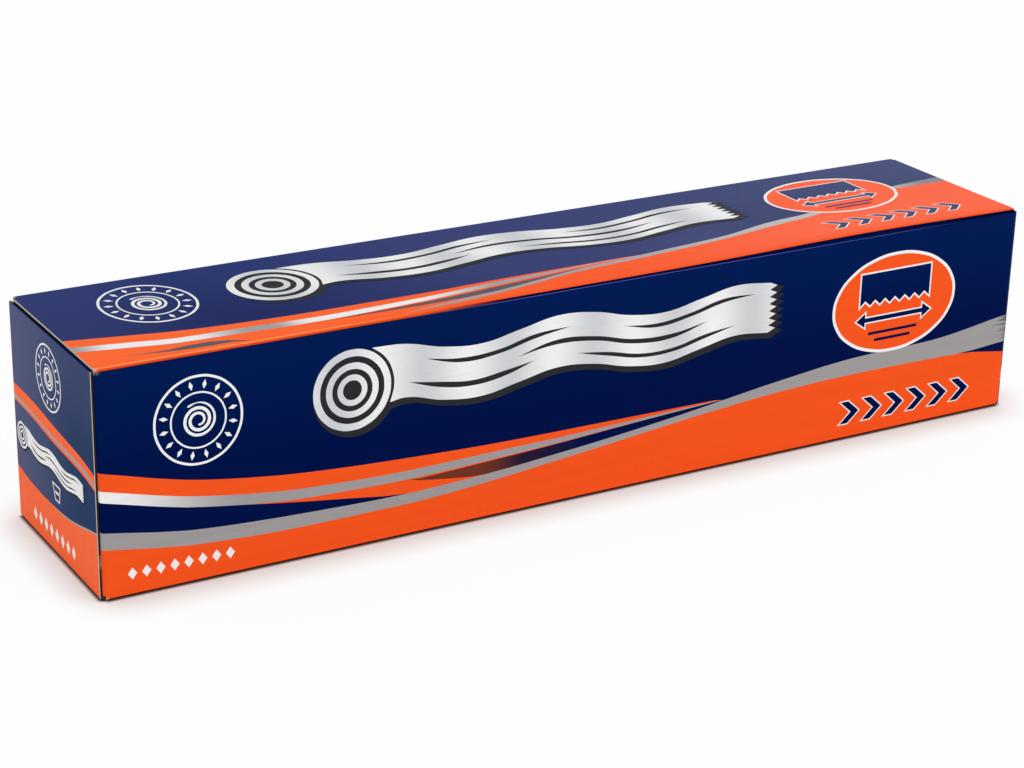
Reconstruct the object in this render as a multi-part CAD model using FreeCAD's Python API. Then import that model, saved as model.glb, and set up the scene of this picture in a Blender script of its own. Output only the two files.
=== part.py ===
import FreeCAD, Part
import math
import os

from FreeCAD import Vector

# A roll of kitchen foil on a card core, lying in a folded carton with a tuck-in lid.
# Millimetres. X runs along the roll, the front panel faces -Y, and the carton stands on Z = 0.
# The origin is the middle of the carton's footprint.

# Driving dimensions of the wound foil
foil_width = 304.8
foil_radius = 31.0
foil_tail_step = 0.25
foil_tail_angle = 118.0
turn_groove_count = 5
turn_groove_width = 0.4
turn_groove_depth = 0.3

# Driving dimensions of the core tube
core_bore_radius = 14.0
core_wall = 1.6
core_overhang = 1.2
core_fit = 0.05

# Driving dimensions of the carton board and its folds
board = 0.6
fold_radius = 0.9
fold_relief = 0.6
dust_flap_gap = 8.4
dust_flap_corner = 6.0

# Room left round the roll inside the carton
seat_gap = 0.1
side_room = 0.6
head_room = 3.5
core_end_room = 1.0

# Driving dimensions of the lid and its tuck flap
lid_under_gap = 0.3
lid_end_gap = 0.3
lid_front_gap = 0.25
hinge_gap = 0.1
tuck_end_gap = 0.8
tuck_corner = 2.0
tuck_sweep_gap = 0.4

# Driving dimensions of the serrated cutter strip and its clinched tangs
cutter_sheet = 0.25
cutter_backing = 8.5
cutter_end_inset = 2.4
cutter_foil_gap = 0.95
tooth_reach = 2.0
tooth_depth = 1.6
tooth_pitch = 2.2
tang_count = 7
tang_width = 3.0
tang_leg = 2.0
tang_inset = 2.5
tang_slot_room = 0.15
clinch_gap = 0.02

# Sizes that follow from the driving dimensions
core_radius = core_bore_radius + core_wall
core_length = foil_width + 2 * core_overhang
foil_bore_radius = core_radius + core_fit
inside_length = core_length + 2 * core_end_room
fold_length = inside_length + 2 * board
carton_length = fold_length + 2 * board
carton_depth = 2 * (foil_radius + side_room + board)
carton_height = 2 * (board + foil_radius) + seat_gap + head_room
roll_height = board + seat_gap + foil_radius
front_y = -carton_depth / 2
rear_y = carton_depth / 2
rim_height = carton_height - board - lid_under_gap
dust_flap_depth = (carton_depth - dust_flap_gap) / 2

# The lid swings about the outside of its rear fold, half way round the fold
hinge_bend = (rear_y - fold_radius, carton_height - fold_radius)
hinge_axis = (
    hinge_bend[0] + fold_radius * math.cos(math.radians(45)),
    hinge_bend[1] + fold_radius * math.sin(math.radians(45)),
)

# The lid's front fold sits just behind the front panel, and the tuck flap leans back from it
tuck_fold_y = front_y + board + lid_front_gap
tuck_half = inside_length / 2 - tuck_end_gap
cutter_half = tuck_half - cutter_end_inset
tooth_offset = clinch_gap + cutter_sheet

tiny = 1e-6


def along_x(u, v):
    return Vector(0, u, v)


def along_y(u, v):
    return Vector(u, 0, v)


def along_z(u, v):
    return Vector(u, v, 0)


def unit(vector):
    length = math.hypot(vector[0], vector[1])
    return (vector[0] / length, vector[1] / length)


def step(point, direction, distance):
    return (point[0] + direction[0] * distance, point[1] + direction[1] * distance)


def closed_prism(edges, travel):
    return Part.Face(Part.Wire(edges)).extrude(travel)


def polygon_prism(points, plane, travel):
    corners = [plane(*point) for point in points]
    sides = zip(corners, corners[1:] + corners[:1])
    return closed_prism([Part.makeLine(start, end) for start, end in sides], travel)


def creased_strip(outer, plane, travel):
    """Board strip whose outer face follows the points, with rounded folds towards its left side."""
    directions = [unit((b[0] - a[0], b[1] - a[1])) for a, b in zip(outer, outer[1:])]
    normals = [(-direction[1], direction[0]) for direction in directions]
    bends = []
    for corner, before, after in zip(outer[1:], normals, normals[1:]):
        across = (before[0] + after[0], before[1] + after[1])
        spread = fold_radius / (1 + before[0] * after[0] + before[1] * after[1])
        bends.append((step(corner, across, spread), before, unit(across), after))

    def face_line(first, last, radius):
        """Points of one face: its end points, and start, middle and end of each fold."""
        line = [[first]]
        for centre, before, middle, after in bends:
            line.append([step(centre, way, -radius) for way in (before, middle, after)])
        line.append([last])
        return line

    outside = face_line(outer[0], outer[-1], fold_radius)
    inside = face_line(
        step(outer[0], normals[0], board), step(outer[-1], normals[-1], board), fold_radius - board
    )
    inside = [group[::-1] for group in inside[::-1]]
    edges = []
    groups = outside + inside
    for group, following in zip(groups, groups[1:] + groups[:1]):
        if len(group) == 3:
            edges.append(Part.Arc(*[plane(*point) for point in group]).toShape())
        start, end = plane(*group[-1]), plane(*following[0])
        if start.distanceToPoint(end) > tiny:
            edges.append(Part.makeLine(start, end))
    return closed_prism(edges, travel)


def hinge_wedge(first_angle, last_angle):
    """Wedge from the rear fold's centre, to part the lid from the rear panel half way round."""
    reach = 3 * fold_radius
    rays = [math.radians(angle) for angle in (first_angle, last_angle)]
    points = [hinge_bend] + [step(hinge_bend, (math.cos(ray), math.sin(ray)), reach) for ray in rays]
    prism = polygon_prism(points, along_x, Vector(2 * carton_length, 0, 0))
    prism.translate(Vector(-carton_length, 0, 0))
    return prism


def wrapped_panel(side):
    """Front (side -1) or rear (side 1) panel with the dust flaps folded in from its ends."""
    panel_y = side * carton_depth / 2
    free_y = panel_y - side * dust_flap_depth
    half = side * fold_length / 2
    outer = [(half, free_y), (half, panel_y), (-half, panel_y), (-half, free_y)]
    bottom = fold_radius + fold_relief
    top = rim_height
    if side > 0:
        top = carton_height - fold_radius - fold_relief
    strip = creased_strip(outer, along_z, Vector(0, 0, top - bottom))
    strip.translate(Vector(0, 0, bottom))
    for corner_z, inward in ((bottom, 1), (top, -1)):
        corner = [
            (free_y, corner_z),
            (free_y, corner_z + inward * dust_flap_corner),
            (free_y + side * dust_flap_corner, corner_z),
        ]
        chamfer = polygon_prism(corner, along_x, Vector(2 * carton_length, 0, 0))
        chamfer.translate(Vector(-carton_length, 0, 0))
        strip = strip.cut(chamfer)
    return strip


def make_tray():
    """Front, bottom and rear panels, dust flaps and the end flaps glued over them: one sheet."""
    channel_half = fold_length / 2 - fold_radius
    channel = creased_strip(
        [
            (front_y, rim_height),
            (front_y, 0),
            (rear_y, 0),
            (rear_y, carton_height),
            (rear_y - fold_radius, carton_height),
        ],
        along_x,
        Vector(2 * channel_half, 0, 0),
    )
    channel.translate(Vector(-channel_half, 0, 0))
    half_gap_angle = math.degrees(hinge_gap / 2 / fold_radius)
    channel = channel.cut(hinge_wedge(45 - half_gap_angle, 135))

    flap_width = carton_depth - 2 * fold_radius
    end_half = carton_length / 2
    bottom_and_ends = creased_strip(
        [(-end_half, rim_height), (-end_half, 0), (end_half, 0), (end_half, rim_height)],
        along_y,
        Vector(0, flap_width, 0),
    )
    bottom_and_ends.translate(Vector(0, -flap_width / 2, 0))
    sheet = channel.fuse([bottom_and_ends, wrapped_panel(-1), wrapped_panel(1)])
    return sheet.removeSplitter()


def circle_crossing(centre_a, radius_a, centre_b, radius_b):
    """Crossing of two circles that lies to the right of the line from the first to the second."""
    between = (centre_b[0] - centre_a[0], centre_b[1] - centre_a[1])
    distance = math.hypot(*between)
    forward = unit(between)
    reach = (radius_a**2 - radius_b**2 + distance**2) / (2 * distance)
    rise = math.sqrt(radius_a**2 - reach**2)
    return step(step(centre_a, forward, reach), (forward[1], -forward[0]), rise)


def tuck_flap_set():
    """Lean and length of the tuck flap: the cutter's tips clear the foil and, swinging, the rim."""
    rim_edge = (front_y + board, rim_height)
    sweep = math.hypot(hinge_axis[0] - rim_edge[0], hinge_axis[1] - rim_edge[1]) - tuck_sweep_gap
    tip = circle_crossing(hinge_axis, sweep, (0, roll_height), foil_radius + cutter_foil_gap)
    down = (tip[0] - tuck_fold_y, carton_height - tip[1])
    tip_depth = math.sqrt(down[0] ** 2 + down[1] ** 2 - tooth_offset**2)
    lean = math.atan2(down[0], down[1]) + math.atan2(tooth_offset, tip_depth)
    return lean, tip_depth


tuck_lean, tip_depth = tuck_flap_set()
tuck_depth = tip_depth - tooth_reach
cutter_top = tuck_depth - cutter_backing
tang_depth = cutter_top + tang_inset


def on_tuck_flap(shape):
    """Place a shape drawn on an upright flap: outer face at Y = 0, fold at Z = 0, hanging down."""
    shape.rotate(Vector(0, 0, 0), Vector(1, 0, 0), math.degrees(tuck_lean))
    shape.translate(Vector(0, tuck_fold_y, carton_height))
    return shape


def centred_box(width, depths, heights, middle_x=0.0):
    """Box of a width about middle_x, between two Y values and two Z values."""
    size = (width, depths[1] - depths[0], heights[1] - heights[0])
    return Part.makeBox(*size, Vector(middle_x - width / 2, depths[0], heights[0]))


def tang_places():
    spacing = 2 * cutter_half / tang_count
    return [-cutter_half + spacing * (index + 0.5) for index in range(tang_count)]


def make_lid():
    """Top panel and tuck flap, parted from the rear panel at the fold that they swing on."""
    lid_half = fold_length / 2 - lid_end_gap
    flap_end = (
        tuck_fold_y + tuck_depth * math.sin(tuck_lean),
        carton_height - tuck_depth * math.cos(tuck_lean),
    )
    lid = creased_strip(
        [
            (rear_y, carton_height - fold_radius),
            (rear_y, carton_height),
            (tuck_fold_y, carton_height),
            flap_end,
        ],
        along_x,
        Vector(2 * lid_half, 0, 0),
    )
    lid.translate(Vector(-lid_half, 0, 0))
    half_gap_angle = math.degrees(hinge_gap / 2 / fold_radius)
    lid = lid.cut(hinge_wedge(-45, 45 + half_gap_angle))

    panel_under = carton_height - board
    for side in (-1, 1):
        trim = centred_box(
            2 * (lid_half - tuck_half),
            (tuck_fold_y - carton_depth / 4, tuck_fold_y + carton_depth / 4),
            (0, panel_under),
            side * lid_half,
        )
        lid = lid.cut(trim)
        corner = [
            (side * tuck_half, -tuck_depth),
            (side * (tuck_half - tuck_corner), -tuck_depth),
            (side * tuck_half, -tuck_depth + tuck_corner),
        ]
        chamfer = polygon_prism(corner, along_y, Vector(0, 3 * board, 0))
        chamfer.translate(Vector(0, -board, 0))
        lid = lid.cut(on_tuck_flap(chamfer))

    slot_heights = (-tang_depth - cutter_sheet - tang_slot_room, -tang_depth + tang_slot_room)
    for place in tang_places():
        slot = centred_box(tang_width + 2 * tang_slot_room, (-board, 2 * board), slot_heights, place)
        lid = lid.cut(on_tuck_flap(slot))
    return lid.removeSplitter()


def make_cutter_strip():
    """Steel strip with a row of teeth below the flap's edge and tangs clinched through the board."""
    tooth_count = int(2 * cutter_half // tooth_pitch)
    row_half = tooth_count * tooth_pitch / 2
    root = -tip_depth + tooth_depth
    outline = [(-cutter_half, -cutter_top), (-cutter_half, root), (-row_half, root)]
    for index in range(tooth_count):
        start = -row_half + index * tooth_pitch
        outline += [(start + tooth_pitch / 2, -tip_depth), (start + tooth_pitch, root)]
    outline += [(cutter_half, root), (cutter_half, -cutter_top)]
    strip = polygon_prism(outline, along_y, Vector(0, cutter_sheet, 0))
    strip.translate(Vector(0, -tooth_offset, 0))

    inner_face = board + clinch_gap
    for place in tang_places():
        heights = (-tang_depth - cutter_sheet, -tang_depth)
        stem = centred_box(tang_width, (-tooth_offset, inner_face + cutter_sheet), heights, place)
        leg_heights = (-tang_depth - tang_leg, -tang_depth)
        leg = centred_box(tang_width, (inner_face, inner_face + cutter_sheet), leg_heights, place)
        strip = strip.fuse([stem, leg])
    return on_tuck_flap(strip.removeSplitter())


def cylinder_along_x(radius, length):
    cylinder = Part.makeCylinder(radius, length, Vector(-length / 2, 0, 0), Vector(1, 0, 0))
    cylinder.translate(Vector(0, 0, roll_height))
    return cylinder


def make_foil_roll():
    """All turns as one solid: a spiral outside with the free edge's step, and grooves at the ends."""
    quarter_fall = foil_tail_step / 4
    centre = (0, roll_height)
    radius = foil_radius
    angle = foil_tail_angle
    edges = []
    for quarter in range(4):
        turns = [math.radians(angle + share * 90) for share in (0, 0.5, 1)]
        ways = [(math.cos(turn), math.sin(turn)) for turn in turns]
        ends = [along_x(*step(centre, way, radius)) for way in ways]
        edges.append(Part.Arc(*ends).toShape())
        centre = step(centre, ways[2], quarter_fall)
        radius -= quarter_fall
        angle += 90
    edges.append(Part.makeLine(edges[-1].Vertexes[-1].Point, edges[0].Vertexes[0].Point))
    roll = closed_prism(edges, Vector(foil_width, 0, 0))
    roll.translate(Vector(-foil_width / 2, 0, 0))
    roll = roll.cut(cylinder_along_x(foil_bore_radius, 2 * foil_width))

    spacing = (foil_radius - foil_bore_radius) / (turn_groove_count + 1)
    for index in range(turn_groove_count):
        groove_radius = foil_bore_radius + spacing * (index + 1)
        outer = cylinder_along_x(groove_radius + turn_groove_width / 2, foil_width)
        inner = cylinder_along_x(groove_radius - turn_groove_width / 2, foil_width)
        middle = cylinder_along_x(2 * foil_radius, foil_width - 2 * turn_groove_depth)
        roll = roll.cut(outer.cut(inner).cut(middle))
    return roll


def make_core_tube():
    return cylinder_along_x(core_radius, core_length).cut(
        cylinder_along_x(core_bore_radius, 2 * core_length)
    )


makers = {
    "tray": make_tray,
    "lid": make_lid,
    "cutter_strip": make_cutter_strip,
    "foil_roll": make_foil_roll,
    "core_tube": make_core_tube,
}

os.makedirs("parts", exist_ok=True)
for name, maker in makers.items():
    shape = maker()
    shape.exportStep("parts/" + name + ".step")
    box = shape.BoundBox
    print(name, "solids", len(shape.Solids), "valid", shape.isValid(), "volume", round(shape.Volume, 1))
    print("  X", round(box.XMin, 3), round(box.XMax, 3), "Y", round(box.YMin, 3), round(box.YMax, 3),
          "Z", round(box.ZMin, 3), round(box.ZMax, 3))
print("hinge axis Y Z", round(hinge_axis[0], 4), round(hinge_axis[1], 4))
print("tuck flap lean", round(math.degrees(tuck_lean), 2), "depth", round(tuck_depth, 2))
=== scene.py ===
import math

import bpy
import numpy as np
from mathutils import Matrix, Vector


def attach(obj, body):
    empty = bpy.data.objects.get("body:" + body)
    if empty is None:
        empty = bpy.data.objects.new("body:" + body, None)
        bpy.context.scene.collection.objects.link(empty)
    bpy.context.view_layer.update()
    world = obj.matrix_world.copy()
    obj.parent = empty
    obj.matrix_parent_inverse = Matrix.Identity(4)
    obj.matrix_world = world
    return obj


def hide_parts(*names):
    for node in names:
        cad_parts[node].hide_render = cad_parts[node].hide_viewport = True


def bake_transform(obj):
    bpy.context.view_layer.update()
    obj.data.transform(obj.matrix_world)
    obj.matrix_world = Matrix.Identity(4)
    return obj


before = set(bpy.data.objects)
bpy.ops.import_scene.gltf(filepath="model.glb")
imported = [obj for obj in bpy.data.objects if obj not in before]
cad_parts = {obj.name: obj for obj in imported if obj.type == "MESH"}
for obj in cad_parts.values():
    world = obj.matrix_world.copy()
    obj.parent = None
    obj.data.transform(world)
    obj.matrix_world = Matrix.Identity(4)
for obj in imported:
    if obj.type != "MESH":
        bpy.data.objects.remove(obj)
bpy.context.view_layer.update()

bl_info = {
    "name": "Foil Roll Carton",
    "version": (1, 0, 0),
    "blender": (4, 5, 0),
    "location": "3D View > Sidebar > Foil Carton",
    "description": "A printed kitchen foil carton with a tuck-in lid, a cutter strip and the roll inside",
    "category": "Object",
}

MM = 0.001

# Details of the folded board, in millimetres.
LID_END_GAP = 0.9  # from the carton's end to the lid's cut edge
FLAP_INSET = 1.1  # how much the tuck flap falls short of the lid at each end
FLAP_CUT = 2.0  # the cut corners of the tuck flap
FOLD_SETBACK = 0.85  # from the front panel's face back to the lid's front fold
DUST_FLAP_CUT = 6.0  # the cut corners of the dust flaps
CREASE_REACH = 2.0  # how far the rear fold's strip reaches down the rear panel and over the lid
FOLD_STEPS = 5  # flat steps round a quarter fold

# At how many places along each sheet its faces begin or end.
FRONT_COLUMNS = 53
END_COLUMNS = 21
LID_COLUMNS = 55
CREASE_COLUMNS = 31

# Where patches of board meet, corners this close become one, and slivers this thin go. In metres.
MERGE_DISTANCE = 0.00002
SLIVER_WIDTH = 0.00001
SHARP_ANGLE = math.radians(32)  # an edge that turns by more than this looks sharp

# A mark's ink, as shares of the ink's height: half its thickness, and where its lowest layer lies.
INK_HALF = 0.65
INK_LOWEST = 0.4
MARK_MERGE = 0.000005  # as MERGE_DISTANCE, for a mark
MARK_ROUGHNESS = 0.45
# The drop shadow of the large mark: how much wider than the mark it is, and its shift, in millimetres.
SHADOW_EDGE = 0.9
SHADOW_SHIFT = (0.9, -1.1)

# The lid's front edge bows up. The bow's middle and half width along the lid, where it starts and how
# far it takes to grow towards the front, and how far the rest of the edge dips, as a share of the bow.
BOW_MIDDLE = 98.0
BOW_SPREAD = 46.0
BOW_START = -9.0
BOW_RUN = 22.0
BOW_DIP = 0.12

ROLL_AXIS_HEIGHT = 0.0317  # in metres

# Each lamp's name, place, target and side in metres, and the setting that holds its power.
LAMPS = (
    ("front_softbox", (0.55, -1.5, 1.1), (0, 0, 0.03), 1.2, "key"),
    ("end_softbox", (-0.95, 1.25, 0.28), (-0.15, 0, 0.03), 0.55, "glance"),
    ("lid_softbox", (1.10, 1.10, 0.55), (0.12, 0, 0.06), 0.5, "sheen"),
)
# The camera as the photograph's was, in metres, degrees and millimetres.
CAMERA_PLACE = (-0.367830, -0.608388, 0.303643)
CAMERA_TURN = (30.424, 21.500, 1.2224)  # to the side, down and rolled
CAMERA_LENS = 88.09
CAMERA_SENSOR = 36.0

# Where the printed bands run on each panel, in millimetres. A band line is a list of (along, across)
# points, and two lines with the same value close the band between them. The functions that make a
# panel's rows take its lines in the order in which they stand here.
LOWER_BAND = [(-155.4, 15.2), (-126.2, 11.0), (-95.3, 9.7), (-65.8, 9.8), (-40.0, 11.1), (-13.0, 13.6),
              (1.0, 14.9), (29.0, 17.8), (45.0, 19.2), (65.0, 20.7), (96.0, 21.6), (123.1, 21.4),
              (135.9, 21.2)]
FRONT_LINES = {
    "field": LOWER_BAND + [(155.4, 18.7)],
    "silver_two_low": LOWER_BAND + [(155.4, 22.4)],
    "silver_two_top": [(-155.4, 20.2), (-126.1, 15.4), (-95.2, 13.7), (-65.8, 13.0), (-40.0, 13.8),
                       (-13.0, 15.7), (1.0, 16.9), (29.0, 19.8), (44.9, 21.8), (65.0, 24.3), (96.0, 27.1),
                       (122.5, 27.6), (155.4, 31.6)],
    "silver_one_low": [(-155.4, 29.1), (-125.9, 21.9), (-95.2, 18.2), (-63.0, 17.4), (-29.4, 18.4),
                       (-12.7, 19.1), (5.9, 20.1), (44.9, 22.0)],
    "silver_one_top": [(-155.4, 32.4), (-125.8, 25.1), (-95.1, 21.2), (-63.0, 20.1), (-29.4, 20.5),
                       (-12.8, 20.7), (5.9, 21.2), (44.9, 22.1)],
    "thin_orange_top": [(-155.4, 37.6), (-125.7, 29.9), (-95.1, 25.9), (-63.0, 24.0), (-29.5, 22.9),
                        (5.7, 22.6), (44.9, 22.3)],
    "crescent_top": [(-138.6, 24.9), (-104.1, 18.5), (-81.6, 15.3), (-65.8, 13.0)],
    "wedge_low": [(-63.0, 16.9), (-50.0, 15.0), (-38.0, 13.6)],
}
TOP_LINES = {
    "haze_low": [(-146.0, -25.2), (-136.6, -27.4), (-127.6, -28.6), (-120.4, -28.9), (-109.0, -28.8)],
    "haze_top": [(-146.0, -25.2), (-136.6, -26.6), (-129.0, -26.7), (-126.0, -25.2), (-118.0, -26.4),
                 (-109.0, -28.8)],
    "silver_two_low": [(-64.0, -29.4), (-46.0, -28.6), (-29.9, -26.6), (1.2, -20.8), (21.1, -19.0),
                       (53.3, -15.4), (75.3, -11.2), (92.9, -8.4), (134.3, 3.3), (155.4, 3.1)],
    "silver_two_top": [(-64.0, -29.4), (-46.0, -27.0), (-29.9, -24.9), (1.2, -19.0), (16.9, -17.2),
                       (34.9, -15.2), (55.0, -12.9), (78.0, -7.3), (88.6, -6.2), (136.4, 6.0),
                       (155.4, 7.7)],
    "wedge_low": [(-84.0, -25.4), (-60.0, -26.2), (-42.0, -26.0), (-29.9, -24.9)],
    "wedge_top": [(-84.0, -25.3), (-54.1, -24.2), (-26.1, -21.6), (5.0, -18.4)],
    "silver_one_low": [(-155.4, -17.6), (-141.3, -20.5), (-127.1, -23.1), (-109.9, -23.9), (-86.7, -24.9),
                       (-54.1, -23.3), (-26.1, -20.6), (5.0, -17.6), (23.4, -16.2)],
    "silver_one_top": [(-155.4, -13.8), (-139.8, -16.9), (-125.7, -19.7), (-108.3, -20.3), (-85.0, -21.5),
                       (-52.7, -20.6), (-24.6, -18.0), (3.6, -16.9), (23.4, -16.2)],
    "thin_orange_top": [(-155.4, -8.2), (-137.9, -12.0), (-123.6, -14.8), (-106.6, -16.5), (-83.0, -17.5),
                        (-51.0, -17.5), (-23.7, -16.6), (4.1, -16.3), (23.4, -16.2)],
}
END_LINES = {
    "field": [(-32.2, 19.6), (-27.8, 18.6), (-5.1, 14.6), (10.4, 14.4), (20.5, 14.8), (32.2, 16.4)],
    "hairline": [(-32.2, 20.0), (-27.8, 19.1), (-5.1, 15.0), (10.4, 14.4), (20.5, 14.8), (32.2, 16.4)],
    "band_low": [(-32.2, 31.6), (-21.0, 33.4), (-0.8, 34.4), (20.2, 36.2), (32.2, 36.6)],
    "silver_low": [(-32.2, 32.2), (-21.0, 34.4), (-0.8, 35.4), (20.2, 36.9), (32.2, 37.1)],
    "silver_top": [(-32.2, 33.4), (-21.2, 35.6), (-0.9, 36.3), (20.1, 37.8), (32.2, 38.3)],
    "band_top": [(-32.2, 36.0), (-21.5, 38.0), (-1.5, 39.6), (19.5, 41.4), (32.2, 41.6)],
}
# Stations that the front's and the top's columns must meet, because a band's tip lies there.
FRONT_STOPS = (-138.6, -104.1, -81.6, -65.8, -63.0, -50.0, -38.0, 5.9, 44.9, 135.9)
TOP_STOPS = (-146.0, -127.6, -109.0, -84.0, -64.0, -46.0, -29.9, 5.0, 23.4, 88.6)
# Where single bands start, end or meet, each at one of the stops above.
CRESCENT_START = -138.6
CRESCENT_END = -65.8
WEDGE_START = -63.0
WEDGE_WIDE = -38.0
FRONT_BANDS_MEET = 44.9
HAZE_END = -109.0
TOP_WEDGE_START = -84.0
SILVER_TWO_START = -64.0
TOP_WEDGE_WIDE = -29.9
TOP_WEDGE_END = 5.0
TOP_BANDS_MEET = 23.4
# Stations that the end panels' columns must meet, at points of their band lines.
END_STOPS = (-21.0, -5.1, -0.8, 10.4, 20.3)


def measure(name, use, default, unit="LENGTH"):
    return bpy.props.FloatProperty(name=name, description=use, default=default, unit=unit)


def strength(name, use, default, most):
    return bpy.props.FloatProperty(
        name=name, description=use, default=default, min=0.0, max=most, subtype="FACTOR")


def print_colour(name, use, default):
    return bpy.props.StringProperty(name=name, description=use, default=default)


class CartonSizes(bpy.types.PropertyGroup):
    length: measure("Length", "Outer length of the closed carton", 0.3116)
    depth: measure("Depth", "Outer depth of the carton, front to rear", 0.0644)
    height: measure("Height", "Outer height with the lid closed", 0.0668)
    board: measure("Board", "Thickness of the folded board", 0.0006)
    fold_radius: measure("Fold radius", "Outer radius of a creased fold", 0.0009)
    flap_depth: measure("Dust flap", "Depth of the dust flaps inside each end", 0.028)
    tuck_depth: measure("Tuck flap", "Depth of the lid's tuck flap", 0.01813)
    tuck_lean: measure("Tuck lean", "How far the tuck flap leans in from upright", math.radians(10.11),
                       "ROTATION")
    lid_lift: measure("Lid lift", "How far the lid's front edge bows up, right of its middle", 0.0009)
    ink_height: measure("Ink height", "How far each layer of a mark stands on the one below", 0.00003)


class PrintColours(bpy.types.PropertyGroup):
    navy: print_colour("Navy", "Ink of the main field, at its top", "#001A50")
    deep_navy: print_colour("Deep navy", "Ink of the main field, low on the front", "#001045")
    # The lid's navy is a lighter copy of the front's, paler still near the rear fold and in patches along
    # the lid: painted sheen.
    lid_lit_navy: print_colour("Lid navy", "Thinner navy ink near the lid's front", "#001D5D")
    lid_rear_sheen_navy: print_colour("Lid rear navy", "Thinner navy ink near the rear fold", "#12286A")
    lid_sheen_navy: print_colour("Lid pale navy", "Thinnest navy ink on the lid", "#2C3871")
    # The end panels' navy is a lighter copy of the front's, paler still near the top and towards the rear:
    # painted sheen.
    end_lit_navy: print_colour("End navy", "Dull navy ink low on the end panels", "#0A2F5C")
    end_top_sheen_navy: print_colour("End top navy", "Dull navy ink near the top of the end panels", "#2E3F69")
    end_rear_sheen_navy: print_colour("End pale navy", "Dull navy ink near the rear of the end panels", "#4C5278")
    # Painted shade: navy darkened to near black for the gap just below the lid's front fold.
    fold_shade_navy: print_colour("Fold navy", "Navy ink just below the lid's front fold", "#000838")
    orange: print_colour("Orange", "Ink of the lower field", "#F4561F")
    # The lid's orange is a lighter copy of the front's, lightest on the left, and so is the end panels'
    # orange: painted sheen.
    lid_sheen_orange: print_colour("Lid orange", "Orange ink on the left of the lid", "#FF682C")
    lid_right_lit_orange: print_colour("Lid right orange", "Orange ink on the right of the lid", "#FC5618")
    end_lit_orange: print_colour("End orange", "Orange ink on the end panels", "#FC6A35")
    # Painted highlight: a paler orange along the left half of the lid's front fold, where the fold catches
    # the light.
    fold_highlight_orange: print_colour("Stretched orange", "Orange ink stretched round the lid's fold", "#FF8A58")
    silver: print_colour("Silver", "Ink of the curved bands", "#9D9A9A")
    # On the lid this pale silver is painted sheen along the silver band; on the front it is where the silver
    # fades towards the left end.
    pale_silver: print_colour("Pale silver", "Where the silver ink fades to white", "#EDECEC")
    brushed_dark: print_colour("Brushed dark", "Streaks at the right end of the silver band", "#5E5C60")
    brown: print_colour("Brown", "Start of the wedge that fades into navy", "#6E3424")
    wedge_dark: print_colour("Wedge dark", "Middle of that wedge", "#241A33")
    slate: print_colour("Slate", "Middle of the dark wedges on the lid", "#5B5660")
    haze_tan: print_colour("Haze tan", "Left tip of the dark wedges on the lid", "#8C6A60")
    wedge_rust: print_colour("Wedge rust", "Start of the lid's longer wedge", "#8A4A35")
    wedge_plum: print_colour("Wedge plum", "End of the lid's longer wedge", "#8A4A42")
    white: print_colour("White", "Ink of the marks", "#EFEFEF")
    mark_grey: print_colour("Mark grey", "Shades across the large mark's sheet", "#CDCFD3")
    charcoal: print_colour("Charcoal", "Ink of the drop shadow behind the large mark", "#2B2C30")
    dark_edge: print_colour("Rubbed edge", "Cut edge darkened by handling", "#1E1A1C")
    stained_edge: print_colour("Stained edge", "Cut edge of the front panel, tinted by the ink", "#4C52A4")
    # Painted shade: the lower steps of each bottom fold take this dark brown for the shade where the board
    # curls away from the floor.
    base_fold_shade: print_colour("Soiled fold", "Bottom folds, dirty from what they stand on", "#45140A")
    liner: print_colour("Liner", "Unprinted inside of the board", "#B9B2A4")
    raw_edge: print_colour("Raw edge", "Cut edge of the board", "#C9BDA6")
    foil: print_colour("Foil", "Rolled aluminium foil", "#D6D8DA")
    kraft: print_colour("Kraft", "Card of the core tube", "#A88A62")
    steel: print_colour("Steel", "Tinned steel of the cutter strip", "#B4B6B8")


class StageSettings(bpy.types.PropertyGroup):
    dome: strength("Dome", "Strength of the plain white surroundings", 0.80, 2.0)
    key: measure("Key", "Power of the soft lamp in front", 9.0, "POWER")
    glance: measure("Glance", "Power of the soft lamp behind the left end", 3.0, "POWER")
    sheen: measure("Sheen", "Power of the soft lamp behind the right end", 1.5, "POWER")
    floor_glow: strength("Floor white", "How much of the seen floor is plain white, from 0 to 1", 0.92, 1.0)
    shadow_reach: measure("Shadow reach", "How far the soft shadow reaches over the floor", 0.016)
    contact_reach: measure("Contact reach", "How far the dark line under the carton reaches", 0.0013)


# The small helpers follow.

def sizes():
    return bpy.context.scene.carton_sizes


def colours():
    return bpy.context.scene.print_colours


def linear(hex_colour):
    """Turns an sRGB hex colour into the linear values that a shader socket takes."""
    value = hex_colour.lstrip("#")
    channels = [int(value[i:i + 2], 16) / 255 for i in (0, 2, 4)]
    return tuple(c / 12.92 if c <= 0.04045 else ((c + 0.055) / 1.055) ** 2.4 for c in channels) + (1.0,)


def shade_of(colour, factor):
    return tuple(min(1.0, c * factor) for c in colour[:3]) + (1.0,)


def add_node(tree, kind, inputs=None, **settings):
    """Adds a shader node, sets its properties, and sets or links its inputs.

    inputs maps a socket's name or number to a value, to another node's output, or to a node, which
    stands for its first output. Map Range takes its value as 0, the range it comes from as 1 and 2,
    and the range it goes to as 3 and 4. A Mix of colours takes its factor as 0 and its colours as 6
    and 7, and gives its result as output 2."""
    node = tree.nodes.new("ShaderNode" + kind)
    for name, value in settings.items():
        setattr(node, name, value)
    for name, value in (inputs or {}).items():
        if isinstance(value, bpy.types.Node):
            value = value.outputs[0]
        if isinstance(value, bpy.types.NodeSocket):
            tree.links.new(value, node.inputs[name])
        else:
            node.inputs[name].default_value = value
    return node


SMOOTH = {"interpolation_type": "SMOOTHSTEP"}
RGBA = {"data_type": "RGBA"}
# What sets a bare metal and a matt card apart on the shader itself.
METAL = {"Metallic": 1.0}
MATT = {"Specular IOR Level": 0.2}


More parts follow.
